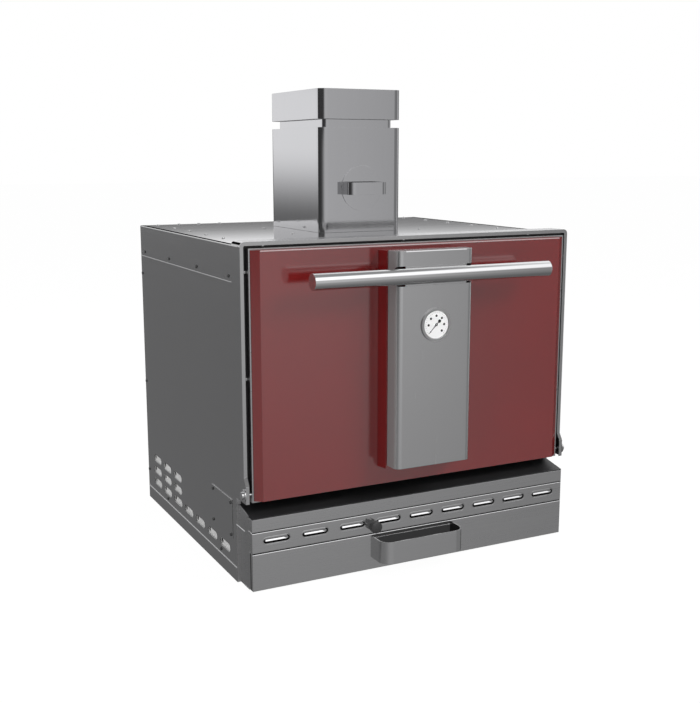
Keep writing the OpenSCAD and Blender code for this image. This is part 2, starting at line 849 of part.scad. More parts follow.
module damper_handle() {
  color(bright) strap(damper_handle_w, damper_handle_h, damper_handle_reach, damper_handle_r, strap_t,
    0, disc_y - disc_t - seat, damper_z);
}

apron_y1 = front_y + apron_run;

// Height of the apron's underside above a point at y
function apron_under(y) = apron_z - sheet + apron_rise * (y - front_y) / apron_run;

module apron() {
  color(dark) plate_yz(-base_hw, base_hw) polygon([
    [front_y, apron_z],
    [front_y, apron_z - sheet],
    [apron_y1, apron_z + apron_rise - sheet],
    [apron_y1, apron_z + apron_rise]]);
}

module plinth_cheeks() {
  color(steel) both() {
    plate_yz(base_hw - sheet, base_hw) polygon([
      [yf + seat, sheet + seat],
      [yf + wing_d - seat, sheet + seat],
      [yf + wing_d - seat, apron_under(apron_y1) - 2 * seat],
      [apron_y1, apron_under(apron_y1) - 2 * seat],
      [yf + seat, apron_under(yf + seat) - 2 * seat]]);
    box(base_hw - sheet, hw - seat, yf + wing_d - seat - sheet, yf + wing_d - seat, sheet + seat,
      ear_z - seat);
  }
}

module front_tray(z0, z1, lip) {
  box(-base_hw, base_hw, front_y, front_y + sheet, z0, z1);
  both() box(base_hw - sheet, base_hw, front_y, yf - seat, z0, z1);
  box(-base_hw, base_hw, front_y, front_y + lip, z1 - sheet, z1);
  box(-base_hw, base_hw, front_y, front_y + lip, z0, z0 + sheet);
}

module plinth_header() {
  color(steel) front_tray(header_z, apron_z - sheet - seat, header_lip);
}

module air_slot_plate() {
  color(steel) difference() {
    front_tray(slot_plate_z, slot_plate_top, slot_lip);
    plate_xz(front_y - 1, front_y + sheet + 1) for (x = slot_x) translate([x, slot_z])
      obround(slot_l, slot_h);
    rod_y_at(-rod_x, front_y - 1, front_y + sheet + 1, rod_z, rod_d / 2 + fit);
  }
}

guide_x = slot_end_x + slot_l / 2 + 9;
guide_l = 30;
guide_rim = 7;

module shutter_guides() {
  color(steel) both() rod_y_at(guide_x, front_y + sheet, front_y + guide_l, slot_z, guide_d / 2);
}

module shutter_plate() {
  color(iron) plate_xz(shutter_y, shutter_y + shutter_t) difference() {
    translate([-guide_x - guide_rim, slot_z - shutter_h / 2]) square([2 * (guide_x + guide_rim), shutter_h]);
    for (s = [-1, 1]) translate([s * guide_x, slot_z]) circle(r = guide_d / 2 + fit);
    translate([-rod_x, rod_z]) circle(r = rod_d / 2 + eps);
  }
}

module shutter_rod() {
  color(bright) rod_y_at(-rod_x, yf - knob_y + rod_socket, shutter_y + shutter_t + 3, rod_z, rod_d / 2);
}

module shutter_knob() {
  color(dark) difference() {
    intersection() {
      rod_y_at(-rod_x, yf - knob_y, yf - knob_y + knob_l, rod_z, knob_d / 2);
      translate([-rod_x, yf - knob_y + knob_d, rod_z]) sphere(r = knob_d);
    }
    rod_y_at(-rod_x, yf - knob_y + rod_socket, yf - knob_y + knob_l + 1, rod_z, rod_d / 2 + eps);
  }
}

module lock_nut() {
  color(dark) plate_xz(front_y - seat - nut_l, front_y - seat) translate([-rod_x, rod_z]) difference() {
    union() {
      circle(r = nut_d / 2 - 2);
      for (a = [0:5]) rotate(60 * a) translate([nut_d / 2 - nut_lobe_r, 0]) circle(r = nut_lobe_r);
    }
    circle(r = rod_d / 2 + fit);
  }
}

module drawer_front() {
  color(steel) {
    box(-base_hw, base_hw, front_y, front_y + sheet, sheet + seat, sheet + seat + drawer_front_h);
    both() box(base_hw - sheet, base_hw, front_y, yf - seat, sheet + seat, sheet + seat + drawer_front_h);
    box(-base_hw, base_hw, front_y, front_y + drawer_lip, seat + drawer_front_h,
      sheet + seat + drawer_front_h);
  }
}

drawer_y0 = front_y + sheet + seat;
drawer_hw = drawer_w / 2;

drawer_y1 = drawer_y0 + drawer_l;
drawer_floor = drawer_z + drawer_t;

// Floor plate with four upright plates welded round its edge
module drawer_box() {
  color(steel) {
    box(-drawer_hw, drawer_hw, drawer_y0, drawer_y1, drawer_z, drawer_floor);
    both() box(drawer_hw - drawer_t, drawer_hw, drawer_y0, drawer_y1, drawer_floor + seat,
      drawer_z + drawer_h);
    drawer_end(drawer_y0);
    drawer_end(drawer_y1 - drawer_t);
  }
}

module drawer_end(y) {
  x = drawer_hw - drawer_t - seat;
  box(-x, x, y, y + drawer_t, drawer_floor + seat, drawer_z + drawer_h);
}

module drawer_handle() {
  color(steel) strap(drawer_handle_w, drawer_handle_h, drawer_handle_reach, drawer_handle_r, strap_t,
    -drawer_handle_x, front_y - seat, drawer_handle_z + drawer_handle_h / 2);
}

module drawer_runners() {
  color(steel) both() {
    box(drawer_hw - rail_w, drawer_hw + rail_out, rail_y, rail_y + drawer_l, sheet + seat,
      sheet + seat + rail_h);
    box(drawer_hw + 1, drawer_hw + rail_out, rail_y, rail_y + drawer_l, sheet + seat,
      sheet + seat + rail_h + rail_wall_h);
  }
}

vent_plate_z = panel_z + sheet + seat;
vent_plate_y1 = yb - back_return - 2 * seat;
vent_low_top = vent_z + slot_h / 2 + vent_margin;
vent_high_top = vent_z + 2 * vent_row + slot_h / 2 + vent_margin;

module vent_holes_2d(row, count) {
  for (k = [0:count - 1])
    translate([yf + vent_y - k * vent_pitch + (slot_l - vent_hole_d) / 2,
      vent_z + row * vent_row + vent_hole_rise])
      circle(r = vent_hole_d / 2);
}

// Backing plates that leave a round air hole at the rear end of each side vent
module vent_plates() {
  color(bright) both() difference() {
    union() {
      box(vent_plate_hw - vent_plate_t, vent_plate_hw,
        yf + vent_y - 6 * vent_pitch - slot_l / 2 - vent_margin,
        vent_plate_y1, vent_plate_z, vent_low_top);
      box(vent_plate_hw - vent_plate_t, vent_plate_hw,
        yf + vent_y - 2 * vent_pitch - slot_l / 2 - vent_margin,
        vent_plate_y1, vent_plate_z, vent_high_top);
    }
    plate_yz(vent_plate_hw - vent_plate_t - 1, vent_plate_hw + 1) {
      vent_holes_2d(0, 7);
      vent_holes_2d(1, 3);
      vent_holes_2d(2, 3);
    }
    for (y = bottom_screws) rod_x_at(vent_plate_hw - vent_plate_t - 1, vent_plate_hw + 1, yf + y,
      bottom_screw_z,
      screw_d / 2 + seat);
  }
}

module door_frame() {
  color(steel) difference() {
    box(-door_w / 2, door_w / 2, frame_y, frame_y + door_t, door_z, door_z + door_h);
    box(frame_ring - door_w / 2, door_w / 2 - frame_ring, frame_y - 1, frame_y + door_t + 1,
      door_z + frame_ring, door_z + door_h - frame_ring + 8);
    both() rod_x_at(door_w / 2 - frame_ring - 1, door_w / 2 + 1, hinge_y, hinge_z, hinge_d / 2 + fit);
  }
}

module skin_2d(inset) {
  polygon([
    [inset - skin_back_w / 2, skin_y],
    [inset / 2 - skin_w / 2 + inset / 2, skin_y - skin_bevel + inset],
    [skin_w / 2 - inset, skin_y - skin_bevel + inset],
    [skin_back_w / 2 - inset, skin_y]]);
}

module door_skin() {
  color(red) difference() {
    translate([0, 0, skin_z]) linear_extrude(skin_h) skin_2d(0);
    translate([0, 0, skin_z + sheet]) linear_extrude(skin_h - 2 * sheet) skin_2d(sheet);
    translate([0, 0.5 - eps, skin_z + sheet]) linear_extrude(skin_h - 2 * sheet)
      translate([sheet - skin_back_w / 2, skin_y - 0.5]) square([skin_back_w - 2 * sheet, 1]);
    rod_y_at(0, skin_y - skin_bevel - 1, skin_y, dial_z, stem_d / 2 + seat);
  }
}

module pedestal_2d(inset) {
  polygon([
    [inset - pedestal_w / 2, pedestal_y + eps],
    [inset - pedestal_front_w / 2, pedestal_y - pedestal_d + inset],
    [pedestal_front_w / 2 - inset, pedestal_y - pedestal_d + inset],
    [pedestal_w / 2 - inset, pedestal_y + eps]]);
}

module door_pedestal() {
  color(red) difference() {
    translate([0, 0, pedestal_z]) linear_extrude(pedestal_h) pedestal_2d(0);
    translate([0, 0, pedestal_z + sheet]) linear_extrude(pedestal_h - 2 * sheet) translate([0, eps])
      pedestal_2d(sheet);
    rod_y_at(0, pedestal_y - pedestal_d - 1, pedestal_y + 1, dial_z, stem_d / 2 + seat);
  }
}

module cover_2d(inset) {
  translate([0, cover_y]) mirror([0, 1]) arch(cover_w / 2 - inset, 0, cover_d - inset, cover_r - inset);
}

module centre_cover() {
  color(bright) difference() {
    translate([0, 0, cover_z]) linear_extrude(cover_h) cover_2d(0);
    translate([0, eps, cover_z + sheet]) linear_extrude(cover_h - 2 * sheet) cover_2d(sheet);
    rod_x_at(-cover_w, cover_w, bar_y, bar_z, bar_d / 2 + bar_gap);
    rod_y_at(0, cover_front - 1, cover_front + sheet + 1, dial_z, case_d / 2 + seat);
  }
}

module handle_bar() {
  color(bright) rod_x_at(-bar_l / 2, bar_l / 2, bar_y, bar_z, bar_d / 2);
}

module handle_posts() {
  color(steel) for (s = [-1, 1]) difference() {
    rod_y_at(s * post_x, bar_y, cover_y, bar_z, post_d / 2);
    rod_x_at(s * post_x - post_d, s * post_x + post_d, bar_y, bar_z, bar_d / 2 + eps);
  }
}

plug_hw = mouth_hw - plug_gap;
plug_z = mouth_z + plug_gap;
plug_h = mouth_h - 2 * plug_gap;
gasket_hw = mouth_hw + 10;
gasket_foot = 10.5;
gasket_w = 9;

module door_insulation() {
  color(wool) difference() {
    box(frame_ring + 1 - door_w / 2, door_w / 2 - frame_ring - 1,
      skin_y - skin_bevel + sheet + seat, frame_y + door_t,
      door_z + frame_ring + 1, door_z + door_h - frame_ring + 7);
    rod_y_at(0, skin_y - skin_bevel, plug_y + 1, dial_z, stem_d / 2 + seat);
  }
}

module door_plug() {
  color(iron) difference() {
    box(-plug_hw, plug_hw, plug_y, plug_y + plug_d, plug_z, plug_z + plug_h);
    box(sheet - plug_hw, plug_hw - sheet, plug_y - 1, plug_y + plug_d - sheet, plug_z + sheet,
      plug_z + plug_h - sheet);
    rod_y_at(0, plug_y - 1, plug_y + plug_d + 1, dial_z, stem_d / 2 + seat);
  }
}

module plug_insulation() {
  color(wool) difference() {
    box(sheet + seat - plug_hw, plug_hw - sheet - seat, plug_y, plug_y + plug_d - sheet - seat,
      plug_z + sheet + seat, plug_z + plug_h - sheet - seat);
    rod_y_at(0, plug_y - 1, plug_y + plug_d + 1, dial_z, stem_d / 2 + seat);
  }
}

module door_gasket() {
  color(wool) plate_xz(plug_y, yf + flange_y - seat) difference() {
    translate([-gasket_hw, mouth_z - gasket_foot]) square([2 * gasket_hw, mouth_h + 2 * gasket_foot - 1]);
    translate([gasket_w - gasket_hw, mouth_z - gasket_foot + gasket_w])
      square([2 * (gasket_hw - gasket_w), mouth_h + 2 * (gasket_foot - gasket_w)]);
  }
}

module thermometer_case() {
  color(bright) difference() {
    union() {
      rod_y_at(0, bezel_y - bezel_t, bezel_y, dial_z, bezel_d / 2);
      rod_y_at(0, bezel_y - 1, cover_y - case_gap, dial_z, case_d / 2);
      rod_y_at(0, cover_y - case_gap - 1, plug_y + plug_d + stem_out, dial_z, stem_d / 2);
    }
    rod_y_at(0, bezel_y - bezel_t - 1, dial_y + dial_t + fit, dial_z, dial_d / 2 + rebate_rim);
  }
}

module thermometer_dial() {
  color([0.95, 0.95, 0.93]) {
    rod_y_at(0, dial_y, dial_y + dial_t, dial_z, dial_d / 2);
    rod_y_at(0, needle_y - 0.2, dial_y + 0.1, dial_z, 1);
  }
}

module thermometer_lens() {
  color([0.8, 0.9, 0.95]) rod_y_at(0, lens_y, lens_y + 0.5, dial_z, dial_d / 2 + lens_rim);
}

module thermometer_needle() {
  color(dark) plate_xz(needle_y, needle_y + 0.4) translate([0, dial_z]) rotate(225) difference() {
    union() {
      circle(r = needle_hub_r);
      polygon([[0, -1.2], [needle_l, -0.3], [needle_l, 0.3], [0, 1.2]]);
      translate([-needle_tail, -0.6]) square([needle_tail, 1.2]);
      translate([-needle_tail, 0]) circle(r = needle_hub_r - 0.5);
    }
    circle(r = 1 + fit);
  }
}

module hinge_bolts() {
  color(bright) both() {
    rod_x_at(hw + seat, hw + seat + sheet, hinge_y, hinge_z, hinge_washer_d / 2);
    rod_x_at(hw + seat + 1, hw + seat + 1 + hinge_head_h, hinge_y, hinge_z, hinge_head_d / 2);
    rod_x_at(door_w / 2 - frame_ring + 2, hw + 1, hinge_y, hinge_z, hinge_d / 2);
  }
}

base_tray();
left_side_panel();
right_side_panel();
back_panel();
top_cover();
case_screws();
access_cover();
front_surround();
mouth_frame();
frame_screws();
front_wall();
firebox_side_walls();
firebox_back_wall();
firebox_roof();
hearth_deck();
fire_grate();
rack_runners();
lower_cooking_grid();
upper_cooking_grid();
side_insulation();
back_insulation();
roof_insulation();
flue_liner();
chimney_housing();
cap_spacer();
chimney_cap();
spark_screen();
damper_shaft();
damper_flap();
damper_disc();
damper_handle();
apron();
plinth_cheeks();
plinth_header();
air_slot_plate();
shutter_guides();
shutter_plate();
shutter_rod();
shutter_knob();
lock_nut();
drawer_front();
drawer_box();
drawer_handle();
drawer_runners();
vent_plates();
door_frame();
door_skin();
door_pedestal();
centre_cover();
handle_bar();
handle_posts();
door_insulation();
door_plug();
plug_insulation();
door_gasket();
thermometer_case();
thermometer_dial();
thermometer_lens();
thermometer_needle();
hinge_bolts();
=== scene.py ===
import math

import bmesh
import bpy
from mathutils import Euler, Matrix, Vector


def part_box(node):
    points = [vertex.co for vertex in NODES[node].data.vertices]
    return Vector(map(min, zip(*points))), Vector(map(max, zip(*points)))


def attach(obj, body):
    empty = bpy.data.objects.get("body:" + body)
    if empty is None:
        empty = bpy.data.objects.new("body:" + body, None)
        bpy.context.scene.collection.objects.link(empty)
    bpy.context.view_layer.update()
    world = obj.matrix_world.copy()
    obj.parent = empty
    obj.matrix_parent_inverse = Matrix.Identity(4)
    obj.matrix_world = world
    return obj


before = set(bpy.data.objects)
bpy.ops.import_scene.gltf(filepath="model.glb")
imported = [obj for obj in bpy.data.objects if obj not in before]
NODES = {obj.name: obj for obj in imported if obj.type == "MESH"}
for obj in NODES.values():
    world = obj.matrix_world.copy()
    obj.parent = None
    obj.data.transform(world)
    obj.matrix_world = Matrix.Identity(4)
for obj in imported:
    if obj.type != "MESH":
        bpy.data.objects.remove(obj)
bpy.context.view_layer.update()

# Lengths are metres, as in the frame, and a box is its lowest and its highest corner
D = bpy.data
X, Y, Z = 0, 1, 2
SIDES = (("left", -1), ("right", 1))
FORWARD = (0, -1, 0)
# White, and white with a little blue in it
WHITE = (1.0, 1.0, 1.0)
COOL = (0.985, 0.985, 1.0)


# Shader nodes

# The sockets of a Mix node that mixes colours
MIX_FACTOR, MIX_A, MIX_B, MIX_RESULT = 0, 6, 7, 2


def feed(nt, value, socket):
    """Gives a socket a number, a colour or another node's output."""
    if isinstance(value, bpy.types.NodeSocket):
        nt.links.new(value, socket)
    elif isinstance(value, tuple):
        socket.default_value = (*value, 1.0)
    else:
        socket.default_value = value


def new_mat(name):
    """A bare Principled material: the material, its node tree and its shader."""
    mat = D.materials.new(name)
    mat.use_nodes = True
    nt = mat.node_tree
    nt.nodes.clear()
    out = nt.nodes.new("ShaderNodeOutputMaterial")
    shader = nt.nodes.new("ShaderNodeBsdfPrincipled")
    nt.links.new(shader.outputs[0], out.inputs[0])
    return mat, nt, shader


def ramp(nt, fac, span, levels, easing="LINEAR"):
    """Maps fac from span to levels, and holds it past the ends."""
    node = nt.nodes.new("ShaderNodeMapRange")
    node.interpolation_type = easing
    for name, value in zip(("From Min", "From Max", "To Min", "To Max"), (*span, *levels)):
        feed(nt, value, node.inputs[name])
    nt.links.new(fac, node.inputs["Value"])
    return node.outputs["Result"]


def smooth(nt, fac, span, levels):
    """A ramp that eases in and out."""
    return ramp(nt, fac, span, levels, "SMOOTHSTEP")


def math_node(nt, operation, *values):
    """One step of arithmetic with numbers or outputs."""
    node = nt.nodes.new("ShaderNodeMath")
    node.operation = operation
    for value, socket in zip(values, node.inputs):
        feed(nt, value, socket)
    return node.outputs[0]


def mix_rgb(nt, fac, a, b, blend="MIX"):
    """Mixes two colours."""
    node = nt.nodes.new("ShaderNodeMix")
    node.data_type = "RGBA"
    node.blend_type = blend
    for value, socket in ((fac, MIX_FACTOR), (a, MIX_A), (b, MIX_B)):
        feed(nt, value, node.inputs[socket])
    return node.outputs[MIX_RESULT]


def noise(nt, repeats, detail, rough):
    """Noise in the object's own space; repeats is how often it repeats in a metre along X, Y and Z."""
    place = nt.nodes.new("ShaderNodeTexCoord")
    stretch = nt.nodes.new("ShaderNodeMapping")
    stretch.inputs["Scale"].default_value = repeats
    nt.links.new(place.outputs["Object"], stretch.inputs["Vector"])
    node = nt.nodes.new("ShaderNodeTexNoise")
    node.inputs["Scale"].default_value = 1.0
    node.inputs["Detail"].default_value = detail
    node.inputs["Roughness"].default_value = rough
    nt.links.new(stretch.outputs["Vector"], node.inputs["Vector"])
    return node.outputs["Fac"]


def even_noise(nt, repeats, detail, rough):
    """Noise with the same scale along X, Y and Z."""
    return noise(nt, (repeats, repeats, repeats), detail, rough)


BEVEL_SAMPLES = 4
# How far a relief of strength 1 stands out
RELIEF_DEPTH = 0.0002


def edge_normal(nt, edge, height, strength):
    """Edges rounded with the radius edge, under a fine relief that follows height."""
    bevel = nt.nodes.new("ShaderNodeBevel")
    bevel.samples = BEVEL_SAMPLES
    bevel.inputs["Radius"].default_value = edge
    bump = nt.nodes.new("ShaderNodeBump")
    bump.inputs["Strength"].default_value = strength
    bump.inputs["Distance"].default_value = RELIEF_DEPTH
    nt.links.new(height, bump.inputs["Height"])
    nt.links.new(bevel.outputs["Normal"], bump.inputs["Normal"])
    return bump.outputs["Normal"]


# Steel

# How often the grinding lines repeat in a metre across the grain and along it, for fine and for broad lines
FINE_ACROSS, FINE_ALONG = 900.0, 6.0
BROAD_ACROSS, BROAD_ALONG = 90.0, 1.2
BROAD_SHARE = 0.5
STEEL_PATCHES = 3.0
# The values of the lines and of the patches from which a tone is darkest to where it is lightest
GRAIN_SPAN = (0.45, 1.05)
PATCH_SPAN = (0.3, 0.7)
# A lighter line is rougher, between these shares of the roughness
ROUGH_LOW, ROUGH_HIGH = 0.8, 1.25


def grain(nt, axis):
    """Grinding lines that run along one axis."""
    fine = [FINE_ACROSS] * 3
    fine[axis] = FINE_ALONG
    broad = [BROAD_ACROSS] * 3
    broad[axis] = BROAD_ALONG
    fine_lines = noise(nt, fine, detail=2.0, rough=0.6)
    broad_lines = noise(nt, broad, detail=2.0, rough=0.5)
    return math_node(nt, "MULTIPLY_ADD", broad_lines, BROAD_SHARE, fine_lines)


def steel_mat(name, tone, rough, axis, spread=0.015, bump=0.001, edge=0.0008, metallic=1.0, tint=WHITE,
              cloud=0.02):
    """Steel ground along axis: its tone varies by spread between the lines and by cloud in broad patches."""
    mat, nt, shader = new_mat(name)
    lines = grain(nt, axis)
    patches = even_noise(nt, STEEL_PATCHES, detail=3.0, rough=0.6)
    dark = tuple(tone * (1 - spread) * t for t in tint)
    light = tuple(tone * (1 + spread) * t for t in tint)
    colour = mix_rgb(nt, ramp(nt, lines, GRAIN_SPAN, (0.0, 1.0)), dark, light)
    shade = mix_rgb(nt, ramp(nt, patches, PATCH_SPAN, (0.0, 1.0)), (1 - cloud,) * 3, WHITE)
    feed(nt, mix_rgb(nt, 1.0, colour, shade, "MULTIPLY"), shader.inputs["Base Color"])
    feed(nt, metallic, shader.inputs["Metallic"])
    roughness = ramp(nt, lines, GRAIN_SPAN, (rough * ROUGH_LOW, rough * ROUGH_HIGH))
    feed(nt, roughness, shader.inputs["Roughness"])
    feed(nt, edge_normal(nt, edge, lines, bump), shader.inputs["Normal"])
    return mat


M = {}


def cabinet_steels():
    """The sheets of the cabinet, the plinth and the chimney."""
    M["steel_side"] = steel_mat("brushed_steel_side", 0.56, 0.18, Y, edge=0.0010)
    M["steel_front"] = steel_mat("brushed_steel_front", 0.56, 0.30, X, edge=0.0014)
    M["steel_top"] = steel_mat("polished_steel_top", 0.66, 0.05, X, spread=0.02, edge=0.0012)
    M["steel_chimney"] = steel_mat("polished_steel_chimney", 0.56, 0.07, Z, tint=COOL, cloud=0.015)
    M["steel_surround"] = steel_mat("steel_surround", 0.56, 0.22, Z, spread=0.02, bump=0.004, edge=0.0010)
    # A dark, half-metallic copy of the steel for faces that lean back: painted shade
    M["slope_painted_shade"] = steel_mat("brushed_steel_slope_painted_shade", 0.18, 0.5, Z, metallic=0.3)
    M["seam"] = steel_mat("folded_edge", 0.58, 0.15, X, edge=0.0001)


def door_steels():
    """The centre cover, the thermometer's bezel, the bar and the drawer's handle, with darker copies of
    their steel painted as shade on the cover's sides and in the handle's pocket.
    """
    M["steel_cover"] = steel_mat("brushed_steel_cover", 0.61, 0.22, Z, edge=0.0012)
    # A darker, less metallic copy of the cover's steel for its side faces: painted shade
    M["cover_side_painted_shade"] = steel_mat("brushed_steel_cover_side_painted_shade", 0.37, 0.5, Z, metallic=0.3)
    M["bezel"] = steel_mat("brushed_steel_bezel", 0.56, 0.42, Z, spread=0.02, bump=0.004, edge=0.0003)
    M["chrome"] = steel_mat("polished_bar", 0.70, 0.06, X, spread=0.01, edge=0.0012, cloud=0.01)
    M["steel_handle"] = steel_mat("brushed_steel_handle", 0.60, 0.22, X, edge=0.0005)
    # A dark copy of the handle's steel for the inner faces of its pocket: painted shade
    M["handle_inside_painted_shade"] = steel_mat("handle_inner_face_painted_shade", 0.15, 0.3, X, spread=0.03, edge=0.0002)
    # A very dark steel for the back of the handle's pocket: painted shade
    M["handle_pocket_painted_shade"] = steel_mat("handle_back_face_painted_shade", 0.095, 0.35, X, spread=0.03, edge=0.0002)


def small_steels():
    """Bolts, screws, and the steel inside the oven."""
    M["bolt"] = steel_mat("zinc_plated", 0.7, 0.14, Z, spread=0.04, bump=0.01, cloud=0.06)
    # The dark finish that the screws in the sides keep: painted shade
    M["screw_painted_shade"] = steel_mat("dark_screw_painted_shade", 0.16, 0.35, Z, spread=0.1, bump=0.02, edge=0.0005, cloud=0.06)
    M["dark_steel"] = steel_mat("dark_steel", 0.22, 0.42, X, spread=0.12, bump=0.06, cloud=0.06)
    M["inside"] = steel_mat("inner_steel", 0.22, 0.5, Z, spread=0.12, bump=0.06, edge=0.001, cloud=0.06)


cabinet_steels()
door_steels()
small_steels()


# Paint, plastic, cloth and glass

# How often the patches and the fine relief repeat in a metre
PAINT_PATCHES = 4.0
PAINT_PEEL = 260.0
DIAL_PATCHES = 60.0
GLASS_PATCHES = 30.0
PAINT_DARK, PAINT_LIGHT = 0.94, 1.05
PAINT_ROUGH_LOW, PAINT_ROUGH_HIGH = 0.9, 1.1
RED = (0.190, 0.004, 0.004)
# The door's red made darker for its upper faces: painted shade
PAINTED_SHADE_RED = (0.13, 0.002, 0.002)


def paint_mat(name, base, rough, coat=0.0, coat_rough=0.03, coat_ior=1.5, spec=0.5, peel=0.03, edge=0.001):
    """A surface of one colour, with broad patches and a fine relief, and a clear coat where coat says so."""
    mat, nt, shader = new_mat(name)
    patches = even_noise(nt, PAINT_PATCHES, detail=3.0, rough=0.6)
    fine = even_noise(nt, PAINT_PEEL, detail=2.0, rough=0.5)
    dark = tuple(c * PAINT_DARK for c in base)
    light = tuple(min(1.0, c * PAINT_LIGHT) for c in base)
    colour = mix_rgb(nt, ramp(nt, patches, PATCH_SPAN, (0.0, 1.0)), dark, light)
    feed(nt, colour, shader.inputs["Base Color"])
    roughness = ramp(nt, patches, PATCH_SPAN, (rough * PAINT_ROUGH_LOW, rough * PAINT_ROUGH_HIGH))
    feed(nt, roughness, shader.inputs["Roughness"])
    feed(nt, spec, shader.inputs["Specular IOR Level"])
    feed(nt, coat, shader.inputs["Coat Weight"])
    feed(nt, coat_rough, shader.inputs["Coat Roughness"])
    feed(nt, coat_ior, shader.inputs["Coat IOR"])
    feed(nt, edge_normal(nt, edge, fine, peel), shader.inputs["Normal"])
    return mat


def enamels():
    """The red door, with a darker copy of its red painted as shade on its upper faces, and the black steel
    round it.
    """
    M["black"] = paint_mat("black_enamel", (0.030, 0.030, 0.031), 0.35, spec=0.35)
    M["red"] = paint_mat("red_enamel", RED, 0.5, coat=1.0, coat_rough=0.13, coat_ior=2.1, spec=0.1,
                         peel=0.006, edge=0.0024)
    M["red_hem"] = paint_mat("red_enamel_hem", RED, 0.5, coat=1.0, coat_rough=0.1, coat_ior=3.0, spec=0.1,
                             peel=0.006, edge=0.0001)
    # The same red paint, darker and with little coat, for the faces that look up: painted shade along the
    # door's top
    M["red_painted_shade"] = paint_mat("red_enamel_painted_shade", PAINTED_SHADE_RED, 0.6, coat=0.2, coat_rough=0.3, spec=0.05,
                               peel=0.006, edge=0.0001)


def dull_finishes():
    """Cast iron, wool, the gasket, plastic, the vent plates painted white as a reflection, and the black
    marks, some of them painted shade.
    """
    M["iron"] = paint_mat("cast_iron", (0.035, 0.034, 0.033), 0.72, spec=0.4, peel=0.35, edge=0.0012)
    M["plastic"] = paint_mat("black_plastic", (0.045, 0.045, 0.046), 0.42, peel=0.08, edge=0.0012)
    M["gloss_plastic"] = paint_mat("glossy_black_plastic", (0.02, 0.02, 0.02), 0.35, coat=1.0,
                                   coat_rough=0.06, coat_ior=1.9, peel=0.02, edge=0.0006)
    M["wool"] = paint_mat("mineral_wool", (0.50, 0.46, 0.36), 0.95, spec=0.1, peel=0.9, edge=0.003)
    M["gasket"] = paint_mat("glass_fibre_gasket", (0.11, 0.105, 0.10), 0.9, spec=0.1, peel=0.9, edge=0.002)
    M["needle"] = paint_mat("needle_black", (0.01, 0.01, 0.01), 0.4, peel=0.02, edge=0.0002)
    # Near black for strips laid where gaps and grooves fall in shade: painted shade
    M["black_painted_shade"] = paint_mat("groove_black_painted_shade", (0.004, 0.004, 0.004), 1.0, spec=0.0, peel=0.02, edge=0.0001)
    # Near white on the vent plates behind the slots: painted reflection
    M["vent_painted_reflection"] = paint_mat("vent_board", (0.86, 0.86, 0.85), 0.5, peel=0.05, edge=0.0006)


def dial_mat():
    """The thermometer's white dial."""
    mat, nt, shader = new_mat("dial_white")
    patches = even_noise(nt, DIAL_PATCHES, detail=2.0, rough=0.5)
    feed(nt, mix_rgb(nt, patches, (0.92, 0.92, 0.91), (0.97, 0.97, 0.96)), shader.inputs["Base Color"])
    feed(nt, 0.55, shader.inputs["Roughness"])
    return mat


def glass_mat():
    """The thermometer's lens, thin enough to bend light very little."""
    mat, nt, shader = new_mat("dial_glass")
    patches = even_noise(nt, GLASS_PATCHES, detail=2.0, rough=0.5)
    feed(nt, ramp(nt, patches, PATCH_SPAN, (0.01, 0.03)), shader.inputs["Roughness"])
    feed(nt, WHITE, shader.inputs["Base Color"])
    feed(nt, 1.0, shader.inputs["Transmission Weight"])
    feed(nt, 1.04, shader.inputs["IOR"])
    return mat


enamels()
dull_finishes()
M["dial"] = dial_mat()
M["glass"] = glass_mat()


# Which node has which finish

FINISH = {
    "steel_side": ["base_tray", "left_side_panel", "right_side_panel", "back_panel", "access_cover"],
    "vent_painted_reflection": ["vent_plates"],
    "screw_painted_shade": ["case_screws"],
    "steel_top": ["top_cover"],
    "bolt": ["frame_screws", "hinge_bolts"],
    "steel_surround": ["front_surround"],
    "black": ["mouth_frame", "apron"],
    "iron": ["front_wall", "firebox_side_walls", "firebox_back_wall", "firebox_roof", "hearth_deck",
             "fire_grate", "damper_flap", "spark_screen", "door_plug"],
    "inside": ["flue_liner", "rack_runners", "drawer_box", "drawer_runners", "shutter_guides",
               "handle_posts"],
    "chrome": ["lower_cooking_grid", "upper_cooking_grid", "handle_bar"],
    "wool": ["side_insulation", "back_insulation", "roof_insulation", "door_insulation",
             "plug_insulation"],
    "steel_chimney": ["chimney_housing", "chimney_cap", "cap_spacer", "damper_disc", "damper_handle"],
    "dark_steel": ["damper_shaft", "shutter_rod"],
    "steel_front": ["plinth_header", "air_slot_plate", "drawer_front", "plinth_cheeks", "shutter_plate",
                    "door_frame"],
    "steel_handle": ["drawer_handle"],
    "plastic": ["shutter_knob"],
    "gloss_plastic": ["lock_nut"],
    "red": ["door_skin", "door_pedestal"],
    "steel_cover": ["centre_cover"],
    "bezel": ["thermometer_case"],
    "gasket": ["door_gasket"],
    "dial": ["thermometer_dial"],
    "glass": ["thermometer_lens"],
    "needle": ["thermometer_needle"],
}


def finish_nodes():
    """Every node gets its material."""
    for finish, names in FINISH.items():
        for name in names:
            materials = NODES[name].data.materials
            materials.clear()
            materials.append(M[finish])


# How much of a face's normal points one way, from hardly any of it to nearly all of it
SLIGHT, HALF, MUCH, MOST, NEARLY_ALL = 0.1, 0.5, 0.7, 0.9, 0.95


def finish_faces(node, finish, chosen):
    """The faces of a node for which chosen(face) is true get a finish of their own."""
    mesh = NODES[node].data
    mesh.materials.append(M[finish])
    for face in mesh.polygons:
        if chosen(face):
            face.material_index = len(mesh.materials) - 1


def side_faces(node, finish, least=MUCH):
    """Finishes the faces that look along X."""
    finish_faces(node, finish, lambda face: abs(face.normal.x) > least)


def slanted_faces(node, finish):
    """Finishes the faces that lean back."""
    def leans_back(face):
        normal = face.normal
        return abs(normal.x) < SLIGHT and SLIGHT < normal.z < NEARLY_ALL and normal.y < -SLIGHT

    finish_faces(node, finish, leans_back)


